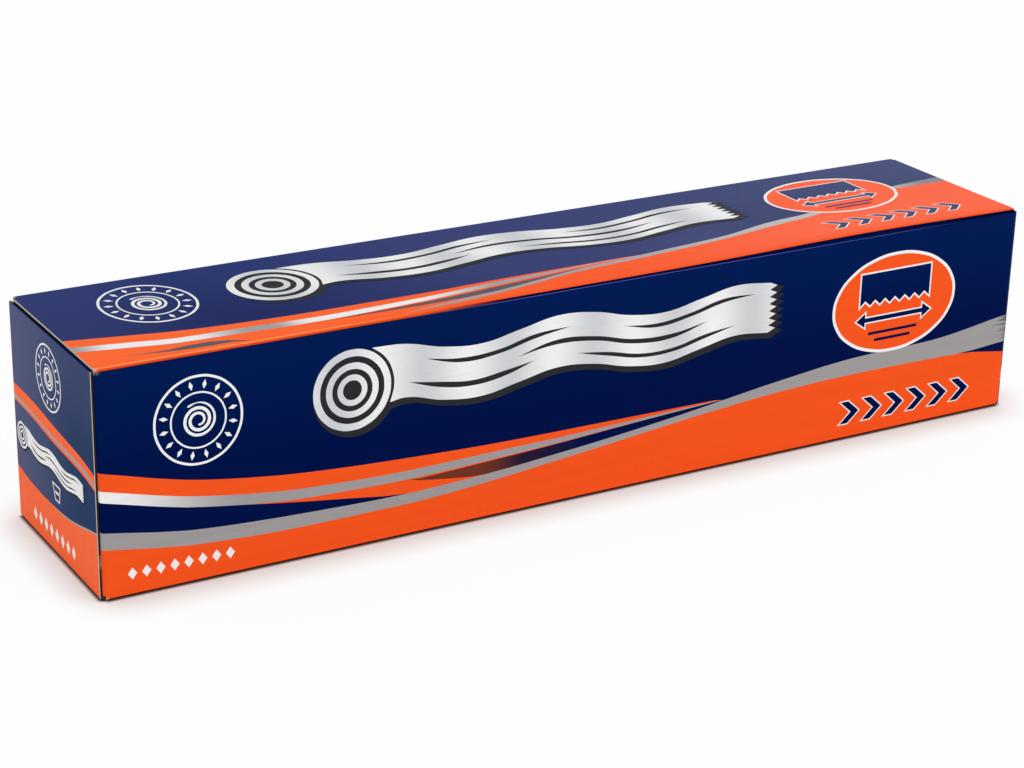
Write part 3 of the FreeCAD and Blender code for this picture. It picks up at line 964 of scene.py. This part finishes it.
def ink_layer(name, outlines, layer):
    """Fills flat outlines, with those inside others as holes, and gives the ink its thickness."""
    curve = bpy.data.curves.new(name, "CURVE")
    curve.dimensions = "2D"
    curve.fill_mode = "BOTH"
    curve.resolution_u = 8
    for kind, points in outlines:
        if kind == "smooth":
            spline = curve.splines.new("BEZIER")
            spline.bezier_points.add(len(points) - 1)
            for knot, (u, v, *corner) in zip(spline.bezier_points, points):
                knot.co = (u * MM, v * MM, 0)
                knot.handle_left_type = knot.handle_right_type = "VECTOR" if corner else "AUTO"
        else:
            spline = curve.splines.new("POLY")
            spline.points.add(len(points) - 1)
            for knot, (u, v, *_) in zip(spline.points, points):
                knot.co = (u * MM, v * MM, 0, 1)
        spline.use_cyclic_u = True
    curve.extrude = sizes().ink_height * INK_HALF
    piece = bpy.data.objects.new(name, curve)
    bpy.context.scene.collection.objects.link(piece)
    only(piece)
    bpy.ops.object.convert(target="MESH")
    piece = bpy.context.object
    piece.location.z = sizes().ink_height * (INK_LOWEST + layer)
    bpy.ops.object.transform_apply(location=True, rotation=True, scale=True)
    close_up(MARK_MERGE)
    return piece


def panels():
    """Each printed panel's middle on its outer face, and its directions across, up and out."""
    size = sizes()
    return {
        "front": ((0, -size.depth / 2, 0), (1, 0, 0), (0, 0, 1), (0, -1, 0), "carton"),
        "left": ((-size.length / 2, 0, 0), (0, -1, 0), (0, 0, 1), (-1, 0, 0), "carton"),
        "right": ((size.length / 2, 0, 0), (0, 1, 0), (0, 0, 1), (1, 0, 0), "carton"),
        "top": ((0, 0, size.height), (1, 0, 0), (0, 1, 0), (0, 0, 1), "lid_flap"),
    }


def print_mark(name, layers, panel, across, up, wide=1.0, tall=None):
    """Prints a mark of several inks on a panel, with its middle at a place in millimetres.

    layers is a list of (material, outlines), the lowest ink first. wide and tall are its scales
    across and up, the same unless both are given."""
    pieces = []
    for layer, (material, outlines) in enumerate(layers):
        placed = [moved(outline, across, up, wide, tall or wide) for outline in outlines]
        piece = ink_layer(f"{name}_{layer}", placed, layer)
        give_materials(piece, [material])
        pieces.append(piece)
    piece = joined(pieces, name)
    middle, right, upward, out, body = panels()[panel]
    turn = Matrix((right, upward, out)).transposed().to_4x4()
    piece.matrix_world = Matrix.Translation(middle) @ turn
    bpy.ops.object.transform_apply(location=True, rotation=True, scale=True)
    if panel == "top":
        for vertex in piece.data.vertices:
            vertex.co.z += lid_bow(vertex.co.x / MM, vertex.co.y / MM) * MM
    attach(piece, body)
    return piece


WHITE_INK = "white_ink_on_board"
CHARCOAL_INK = "charcoal_ink_on_board"
FOIL_INK = "shaded_white_ink"
FRONT_MARK_INKS = ("navy_ink_on_board", "orange_ink_on_board")
# The marks on the lid take its inks with painted sheen.
LID_MARK_INKS = ("thin_navy_ink_on_lid", "lid_orange_ink")


def diamond(across, up, half_wide, half_tall):
    return ("straight", [(across - half_wide, up), (across, up - half_tall),
                         (across + half_wide, up), (across, up + half_tall)])


def roundel_outlines():
    """Two rings with a wreath of diamonds between them and a coiled sheet in the middle."""
    outlines = [circle(13.0), circle(12.3), circle(8.2), circle(7.7)]
    wreath = 10.25
    half_long = 1.35
    half_wide = 0.62
    for k in range(16):
        angle = math.pi / 8 * (k + 0.5)
        radial = Vector((math.cos(angle), math.sin(angle)))
        across = Vector((-radial.y, radial.x))
        middle = Vector((wreath * math.cos(angle), wreath * math.sin(angle)))
        outlines.append(("straight", [
            tuple(middle + radial * half_long), tuple(middle + across * half_wide),
            tuple(middle - radial * half_long), tuple(middle - across * half_wide)]))
    turns = 2.6
    steps = 30
    outer, inner = [], []
    for k in range(steps + 1):
        share = k / steps
        angle = math.pi * 2 * turns * share - math.pi / 2
        radius = 1.3 + 3.9 * share
        thick = 0.20 + 0.26 * math.sin(math.pi * min(1.0, share * 1.05)) ** 0.5 if share < 0.95 else 0.14
        outer.append(((radius + thick) * math.cos(angle), (radius + thick) * math.sin(angle)))
        inner.append(((radius - thick) * math.cos(angle), (radius - thick) * math.sin(angle)))
    outlines.append(("smooth", outer + inner[::-1]))
    return outlines


def sheet_top(u):
    """Upper edge of the large mark's wavy sheet, u millimetres right of its middle."""
    return 9.6 + 2.4 * math.sin((u + 63.0) * math.pi / 31.0 + 1.2) - 0.012 * (u + 63.0)


def sheet_part(start, stop, steps, upper, lower):
    """A lens between two depths of the wavy sheet, pointed at both ends: a crease that catches no light."""
    spread = [start + (stop - start) * k / steps for k in range(steps + 1)]
    middle = (upper + lower) / 2
    high = [(u, sheet_top(u) - upper) for u in spread[1:-1]]
    low = [(u, sheet_top(u) - lower) for u in reversed(spread[1:-1])]
    return ("smooth", [(start, sheet_top(start) - middle, "corner")] + high
            + [(stop, sheet_top(stop) - middle, "corner")] + low)


def emblem_outlines():
    """A roll seen from its end, its sheet running off in waves with creases, and a torn zigzag end."""
    hub = (-66.5, 0.0)
    roll = [circle(radius, hub) for radius in (12.0, 9.9, 8.1, 6.2, 4.6, 2.9)]
    near = [(hub[0] + 13.0 * math.cos(math.radians(a)), hub[1] + 13.0 * math.sin(math.radians(a)))
            for a in (62, 40, 18, -4, -26)]
    depth = 16.0
    spread = [-50.0 + 12.4 * k for k in range(10)]
    top = [(u, sheet_top(u)) for u in spread]
    end = 74.0
    teeth = 7
    torn = [(end + (2.6 if k % 2 else 0.0), sheet_top(end) - depth * k / (2 * teeth), "corner")
            for k in range(2 * teeth + 1)]
    bottom = [(u, sheet_top(u) - depth) for u in reversed(spread)]
    sheet = ("smooth", [(*near[0], "corner")] + top + torn + bottom + [(*near[4], "corner")] + near[3:0:-1])
    creases = [sheet_part(*facts) for facts in (
        (-44.0, 4.0, 4, 3.4, 4.7), (-14.0, 52.0, 5, 7.4, 8.8), (-49.0, -8.0, 4, 10.6, 12.2),
        (22.0, 69.0, 4, 3.0, 4.2), (6.0, 62.0, 5, 12.0, 13.2))]
    return roll, sheet, creases


def emblem_layers():
    roll, sheet, creases = emblem_outlines()
    roll_shadow, sheet_shadow = (
        moved(grown(outline, SHADOW_EDGE), *SHADOW_SHIFT) for outline in (roll[0], sheet))
    return [(CHARCOAL_INK, [roll_shadow]), (CHARCOAL_INK, [sheet_shadow]),
            (FOIL_INK, roll + [sheet] + creases)]


def sheet_outline():
    """A cut sheet of foil whose lower edge is torn along the cutter's teeth."""
    teeth = 7
    edge = [(13.5 - 27.0 * k / (2 * teeth), 0.2 + (1.7 if k % 2 else 0.0)) for k in range(2 * teeth + 1)]
    return ("straight", [(-13.5, 10.6), (13.5, 10.6)] + edge)


def arrow_outline():
    """A line with an arrow head at each end, as on a dimension."""
    right = [(14.5, 0.0), (11.2, 2.3), (11.2, 0.7)]
    left = [(-u, v) for u, v in reversed(right)]
    return ("straight", right + left + [(u, -v) for u, v in reversed(left[:2])]
            + [(u, -v) for u, v in reversed(right[1:])])


def oval_layers(navy, orange):
    """An orange oval in a white border, with a cut sheet and a dimension arrow in navy."""
    border = [circle(24.0, squash=0.685), circle(23.0, squash=0.672)]
    disc = [circle(23.05, squash=0.673)]
    sheet = sheet_outline()
    arrow = moved(arrow_outline(), 0.0, -4.6)
    bars = [("straight", [(-half, up), (half, up), (half, up - 0.9), (-half, up - 0.9)])
            for half, up in ((9.5, -8.8), (7.0, -11.2))]
    return [
        (orange, disc),
        (WHITE_INK, border + [grown(sheet, 0.55), grown(arrow, 0.45)]),
        (navy, [sheet, arrow] + bars),
    ]


def chevron_layers(navy):
    """A row of navy chevrons, each with a white outline."""
    one = ("straight", [(-3.6, 3.7), (-0.6, 3.7), (3.6, 0.0), (-0.6, -3.7), (-3.6, -3.7), (0.6, 0.0)])
    row = [moved(one, -22.0 + 8.8 * k, 0.0) for k in range(6)]
    return [(WHITE_INK, [grown(outline, 0.42) for outline in row]), (navy, row)]


def tab_layers():
    """A small slanted box in outline, with one bar in it."""
    box = ("straight", [(-3.2, 2.5), (3.0, 2.5), (2.2, -2.5), (-1.4, -2.5)])
    bar = ("straight", [(-1.2, 0.5), (1.7, 0.5), (1.5, -0.3), (-0.9, -0.3)])
    return [(WHITE_INK, [box, grown(box, -0.45), bar])]


def dash_layers(count, pitch, half_wide, half_tall):
    """A short row of plain white lozenges."""
    start = -pitch * (count - 1) / 2
    return [(WHITE_INK, [diamond(start + pitch * k, 0.0, half_wide, half_tall) for k in range(count)])]


class FOIL_OT_mark_inks(bpy.types.Operator):
    """Mixes the inks and card surfaces that the carton and its marks share"""
    bl_idname = "foil.mark_inks"
    bl_label = "Inks and card"

    def execute(self, context):
        ink = colours()
        mix_plain_inks(ink)
        mix_front_inks(ink)
        mix_lid_inks(ink)
        shades = [(-100.0 + 14.0 * k, ink.mark_grey if k % 2 else ink.white) for k in range(14)]
        for name, colour_of in ((WHITE_INK, plain_colour(ink.white)),
                                (CHARCOAL_INK, plain_colour(ink.charcoal)),
                                (FOIL_INK, fading_colour(shades))):
            varnished_ink(name, colour_of, roughness=MARK_ROUGHNESS)
        return {"FINISHED"}


class FOIL_OT_roundels(bpy.types.Operator):
    """Prints the ringed rosettes on the front, the lid and both ends"""
    bl_idname = "foil.roundels"
    bl_label = "Roundels"

    def execute(self, context):
        outlines = roundel_outlines()
        print_mark("roundel_front", [(WHITE_INK, outlines)], "front", -126.4, 47.5)
        print_mark("roundel_top", [(WHITE_INK, outlines)], "top", -123.2, 9.3, 1.065, 1.22)
        print_mark("roundel_left", [(WHITE_INK, outlines)], "left", -1.8, 52.9, 0.745)
        print_mark("roundel_right", [(WHITE_INK, outlines)], "right", 1.8, 52.9, 0.745)
        return {"FINISHED"}


class FOIL_OT_emblems(bpy.types.Operator):
    """Prints the large mark of an unrolling sheet, with its drop shadow"""
    bl_idname = "foil.emblems"
    bl_label = "Large marks"

    def execute(self, context):
        layers = emblem_layers()
        print_mark("emblem_front", layers, "front", -14.0, 47.8)
        print_mark("emblem_top", layers, "top", -12.5, 8.0, 1.10)
        print_mark("emblem_left", layers, "left", -3.5, 27.3, 0.335)
        print_mark("emblem_right", layers, "right", 3.5, 27.3, 0.335)
        return {"FINISHED"}


class FOIL_OT_ovals(bpy.types.Operator):
    """Prints the orange ovals and the rows of chevrons on the front and the lid"""
    bl_idname = "foil.ovals"
    bl_label = "Ovals and chevrons"

    def execute(self, context):
        print_mark("oval_front", oval_layers(*FRONT_MARK_INKS), "front", 108.3, 43.4)
        print_mark("oval_top", oval_layers(*LID_MARK_INKS), "top", 110.7, 6.6, 0.98, 1.03)
        print_mark("chevrons_front", chevron_layers(FRONT_MARK_INKS[0]), "front", 115.6, 8.9)
        print_mark("chevrons_top", chevron_layers(LID_MARK_INKS[0]), "top", 116.0, -20.1)
        print_mark("dashes_front", dash_layers(8, 4.1, 1.35, 1.8), "front", -132.4, 6.6)
        print_mark("tab_left", tab_layers(), "left", 0.5, 19.6)
        print_mark("tab_right", tab_layers(), "right", -0.5, 19.6)
        print_mark("dashes_left", dash_layers(8, 4.3, 1.4, 2.1), "left", -3.0, 6.1)
        print_mark("dashes_right", dash_layers(8, 4.3, 1.4, 2.1), "right", 3.0, 6.1)
        return {"FINISHED"}


# The roll, core and cutter follow.

def rolled_foil():
    """Bright household aluminium foil: mirror-like, with fine rolling lines round it and soft creases."""
    material, tree = empty_material("bright_rolled_aluminium_foil")
    # Rolling lines are far finer than this on real foil, so they are drawn 0.4 mm apart to show at all.
    lines = grain(tree, (0.4, 30.0, 30.0), 3.0)
    # Hoops are the slow swell of the winding along the roll, and creases come from handling.
    hoops = grain(tree, (6.0, 90.0, 90.0), 2.0, 0.4)
    creases = grain(tree, (34.0, 12.0, 12.0), 3.0, 0.5)
    normal = add_node(tree, "NewGeometry").outputs["Normal"]
    sideways = add_node(tree, "SeparateXYZ", {"Vector": normal}).outputs["X"]
    facing = add_node(tree, "Math", {0: sideways}, operation="ABSOLUTE")
    end_face = add_node(tree, "MapRange", {0: facing, 1: 0.6, 2: 0.8})
    _, y, z = object_axes(tree)
    up = add_node(tree, "Math", {0: z, 1: ROLL_AXIS_HEIGHT}, operation="SUBTRACT")
    first, second = (add_node(tree, "Math", {0: value, 1: 2.0}, operation="POWER") for value in (y, up))
    squares = add_node(tree, "Math", {0: first, 1: second}, operation="ADD")
    radius = add_node(tree, "Math", {0: squares}, operation="SQRT")
    # The turns at the roll's ends are 0.015 mm apart, so they are drawn 0.35 mm apart to show.
    phase = add_node(tree, "Math", {0: radius, 1: 2 * math.pi / 0.00035}, operation="MULTIPLY")
    turns = add_node(tree, "Math", {0: phase}, operation="SINE")
    end_turns = add_node(tree, "Math", {0: turns, 1: end_face}, operation="MULTIPLY")
    low_turns = add_node(tree, "Math", {0: end_turns, 1: 0.4}, operation="MULTIPLY")
    low_hoops = add_node(tree, "Math", {0: hoops, 1: 0.5}, operation="MULTIPLY")
    waves = add_node(tree, "Math", {0: creases, 1: low_hoops}, operation="ADD")
    height = add_node(tree, "Math", {0: waves, 1: low_turns}, operation="ADD")
    colour = flecked(tree, linear(colours().foil), lines, 0.93, 1.05)
    close_textured(tree, colour, lines, (0.12, 0.24), height, (0.35, 0.0005), METAL)
    return material


def wound_kraft_card():
    """Spiral-wound kraft card: matt brown, with a darker seam that climbs round the tube."""
    material, tree = empty_material("spiral_wound_kraft_card")
    fibres = grain(tree, (1.2, 0.5, 0.5), 5.0, 0.65)
    x, y, z = object_axes(tree)
    up = add_node(tree, "Math", {0: z, 1: ROLL_AXIS_HEIGHT}, operation="SUBTRACT")
    angle = add_node(tree, "Math", {0: y, 1: up}, operation="ARCTAN2")
    turn = add_node(tree, "Math", {0: angle, 1: 2 * math.pi}, operation="DIVIDE")
    # One strip of the winding covers 90 mm of the tube's length.
    strips = add_node(tree, "Math", {0: x, 1: 0.09}, operation="DIVIDE")
    wound = add_node(tree, "Math", {0: strips, 1: turn}, operation="ADD")
    climb = add_node(tree, "Math", {0: wound}, operation="FRACT")
    centred = add_node(tree, "Math", {0: climb, 1: 0.5}, operation="SUBTRACT")
    off_seam = add_node(tree, "Math", {0: centred}, operation="ABSOLUTE")
    seam = add_node(tree, "MapRange", {0: off_seam, 1: 0.0, 2: 0.012, 3: 1.0, 4: 0.0})
    base = linear(colours().kraft)
    card = flecked(tree, base, fibres, 0.84, 1.12)
    share = add_node(tree, "Math", {0: seam, 1: 0.6}, operation="MULTIPLY")
    seamed = add_node(tree, "Mix", {0: share, 6: card, 7: shade_of(base, 0.45)}, **RGBA).outputs[2]
    height = add_node(tree, "Math", {0: fibres, 1: seam}, operation="SUBTRACT")
    close_textured(tree, seamed, fibres, (0.80, 0.93), height, (0.3, 0.0001), MATT)
    return material


def tinned_steel():
    """Cold-rolled tinned steel strip: grey, with brush lines along its length."""
    material, tree = empty_material("brushed_tinned_steel")
    lines = grain(tree, (30.0, 0.18, 0.18), 3.0)
    colour = flecked(tree, linear(colours().steel), lines, 0.85, 1.08)
    close_textured(tree, colour, lines, (0.26, 0.40), lines, (0.15, 0.00004), METAL)
    return material


class FOIL_OT_inner_parts(bpy.types.Operator):
    """Finishes the foil roll, its card core and the cutter strip"""
    bl_idname = "foil.inner_parts"
    bl_label = "Roll, core and cutter"

    def execute(self, context):
        for node, material in (("foil_roll", rolled_foil()), ("core_tube", wound_kraft_card()),
                               ("cutter_strip", tinned_steel())):
            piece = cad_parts[node]
            if not piece.material_slots:
                raise RuntimeError(f"{node} has no material slot")
            for slot in piece.material_slots:
                slot.material = material
        return {"FINISHED"}


# The stage follows.

WHITE = (1.0, 1.0, 1.0, 1.0)


def white_to_the_eye(tree, seen, otherwise, share):
    """Shows one shader to camera, glossy and transmission rays, and the other one to the rest.

    share is how much of the first one the camera sees."""
    rays = add_node(tree, "LightPath").outputs
    reflected = add_node(tree, "Math", {
        0: rays["Is Glossy Ray"], 1: rays["Is Transmission Ray"]}, operation="MAXIMUM")
    direct = add_node(tree, "Math", {0: rays["Is Camera Ray"], 1: share}, operation="MULTIPLY")
    factor = add_node(tree, "Math", {0: reflected, 1: direct}, operation="MAXIMUM")
    return add_node(tree, "MixShader", {0: factor, 1: otherwise, 2: seen})


def floor_shadow(tree, settings):
    """The floor as the eye sees it: white, with a soft shadow close to the carton, as under a large
    white tent, and a dark line where they touch."""
    wide, tight = (
        add_node(tree, "AmbientOcclusion", {"Distance": reach}, samples=16).outputs["AO"]
        for reach in (settings.shadow_reach, settings.contact_reach))
    # Beyond the left end the shadow is narrower and greyer than along the front.
    beside = add_node(tree, "MapRange", {0: object_axes(tree)["X"], 1: -0.168, 2: -0.156})
    clear = add_node(tree, "MapRange", {0: beside, 3: 0.90, 4: 0.97})
    soft = add_node(tree, "MapRange", {0: wide, 1: 0.50, 2: clear})
    dark = add_node(tree, "MapRange", {0: tight, 1: 0.47, 2: 0.99, 3: 0.03, 4: 1.0})
    pale = add_node(tree, "MapRange", {0: soft, 3: 0.70, 4: 1.0})
    shade = add_node(tree, "Math", {0: pale, 1: dark}, operation="MULTIPLY")
    # The carton's orange is thrown back into its shadow, so the shadow is a little warm.
    thrown = add_node(tree, "Mix", {
        0: beside, 6: (1.0, 0.91, 0.89, 1.0), 7: (1.0, 0.84, 0.81, 1.0)}, **RGBA).outputs[2]
    warm = add_node(tree, "Mix", {0: soft, 6: thrown, 7: WHITE}, **RGBA).outputs[2]
    tint = add_node(tree, "Mix", {0: dark, 6: (1.0, 0.45, 0.36, 1.0), 7: warm}, **RGBA).outputs[2]
    return add_node(tree, "Emission", {"Color": tint, "Strength": shade})


def lay_floor(settings):
    """Plain white paper, whose fine mottle keeps the shadow from looking like a gradient."""
    nothing_selected()
    bpy.ops.mesh.primitive_plane_add(size=14.0, location=(0, 0, -0.0001))
    floor = bpy.context.object
    floor.name = "floor"
    material, tree = empty_material("white_paper_floor")
    mottle = add_node(tree, "MapRange", {0: grain(tree, (4.0, 4.0, 4.0)), 1: 0.3, 2: 0.7})
    fibres = add_node(tree, "Mix", {0: mottle, 6: (0.93, 0.93, 0.93, 1), 7: (0.96, 0.96, 0.96, 1)}, **RGBA)
    paper = add_node(tree, "BsdfDiffuse", {"Color": fibres.outputs[2]})
    close_material(tree, white_to_the_eye(tree, floor_shadow(tree, settings), paper, settings.floor_glow))
    floor.data.materials.append(material)


def surround_with_white(scene, settings):
    """Surroundings that look plain white and light the carton a little less."""
    world = bpy.data.worlds.new("white_surroundings")
    scene.world = world
    world.use_nodes = True
    tree = world.node_tree
    tree.nodes.clear()
    dome = add_node(tree, "Background", {"Color": WHITE, "Strength": settings.dome})
    white = add_node(tree, "Background", {"Color": WHITE, "Strength": 1.0})
    add_node(tree, "OutputWorld", {"Surface": white_to_the_eye(tree, white, dome, 1.0)})


def soft_lamp(name, place, target, side, power):
    data = bpy.data.lights.new(name, "AREA")
    data.shape = "SQUARE"
    data.size = side
    data.energy = power
    lamp = bpy.data.objects.new(name, data)
    lamp.location = place
    lamp.rotation_euler = (Vector(target) - Vector(place)).to_track_quat("-Z", "Y").to_euler()
    bpy.context.scene.collection.objects.link(lamp)


def aim_camera(scene):
    """Puts the camera where the photograph was taken from, turned and rolled as it was."""
    data = bpy.data.cameras.new("camera")
    data.lens = CAMERA_LENS
    data.sensor_width = CAMERA_SENSOR
    camera = bpy.data.objects.new("camera", data)
    yaw, pitch, roll = (math.radians(a) for a in CAMERA_TURN)
    ahead = Vector((math.sin(yaw) * math.cos(pitch), math.cos(yaw) * math.cos(pitch), -math.sin(pitch)))
    level = Vector((math.cos(yaw), -math.sin(yaw), 0))
    upward = level.cross(ahead)
    right = level * math.cos(roll) + upward * math.sin(roll)
    above = upward * math.cos(roll) - level * math.sin(roll)
    turn = Matrix((right, above, -ahead)).transposed().to_4x4()
    camera.matrix_world = Matrix.Translation(CAMERA_PLACE) @ turn
    scene.collection.objects.link(camera)
    scene.camera = camera


class FOIL_OT_stage(bpy.types.Operator):
    """Sets the white floor, the soft light and the camera at the photograph's angle"""
    bl_idname = "foil.stage"
    bl_label = "Stage"

    def execute(self, context):
        scene = context.scene
        settings = scene.stage_settings
        lay_floor(settings)
        surround_with_white(scene, settings)
        for name, place, target, side, power in LAMPS:
            soft_lamp(name, place, target, side, getattr(settings, power))
        aim_camera(scene)
        scene.view_settings.view_transform = "Standard"
        return {"FINISHED"}


class FOIL_PT_carton(bpy.types.Panel):
    """Lists the carton's sizes and the steps that build it"""
    bl_idname = "FOIL_PT_carton"
    bl_label = "Foil Carton"
    bl_space_type = "VIEW_3D"
    bl_region_type = "UI"
    bl_category = "Foil Carton"

    def draw(self, context):
        for group in (context.scene.carton_sizes, context.scene.print_colours, context.scene.stage_settings):
            box = self.layout.box()
            for name in group.__annotations__:
                box.prop(group, name)
        for step in STEPS:
            self.layout.operator(step.bl_idname)


STEPS = (
    FOIL_OT_mark_inks, FOIL_OT_carton_board, FOIL_OT_lid_board, FOIL_OT_rear_fold, FOIL_OT_roundels,
    FOIL_OT_emblems, FOIL_OT_ovals, FOIL_OT_inner_parts, FOIL_OT_stage)
CLASSES = (CartonSizes, PrintColours, StageSettings) + STEPS + (FOIL_PT_carton,)


def register():
    for cls in CLASSES:
        bpy.utils.register_class(cls)
    bpy.types.Scene.carton_sizes = bpy.props.PointerProperty(type=CartonSizes)
    bpy.types.Scene.print_colours = bpy.props.PointerProperty(type=PrintColours)
    bpy.types.Scene.stage_settings = bpy.props.PointerProperty(type=StageSettings)


def unregister():
    del bpy.types.Scene.stage_settings
    del bpy.types.Scene.print_colours
    del bpy.types.Scene.carton_sizes
    for cls in reversed(CLASSES):
        bpy.utils.unregister_class(cls)


def main():
    register()
    bpy.ops.foil.mark_inks()
    bpy.ops.foil.carton_board()
    bpy.ops.foil.lid_board()
    bpy.ops.foil.rear_fold()
    bpy.ops.foil.roundels()
    bpy.ops.foil.emblems()
    bpy.ops.foil.ovals()
    bpy.ops.foil.inner_parts()
    bpy.ops.foil.stage()


if __name__ == "__main__":
    main()
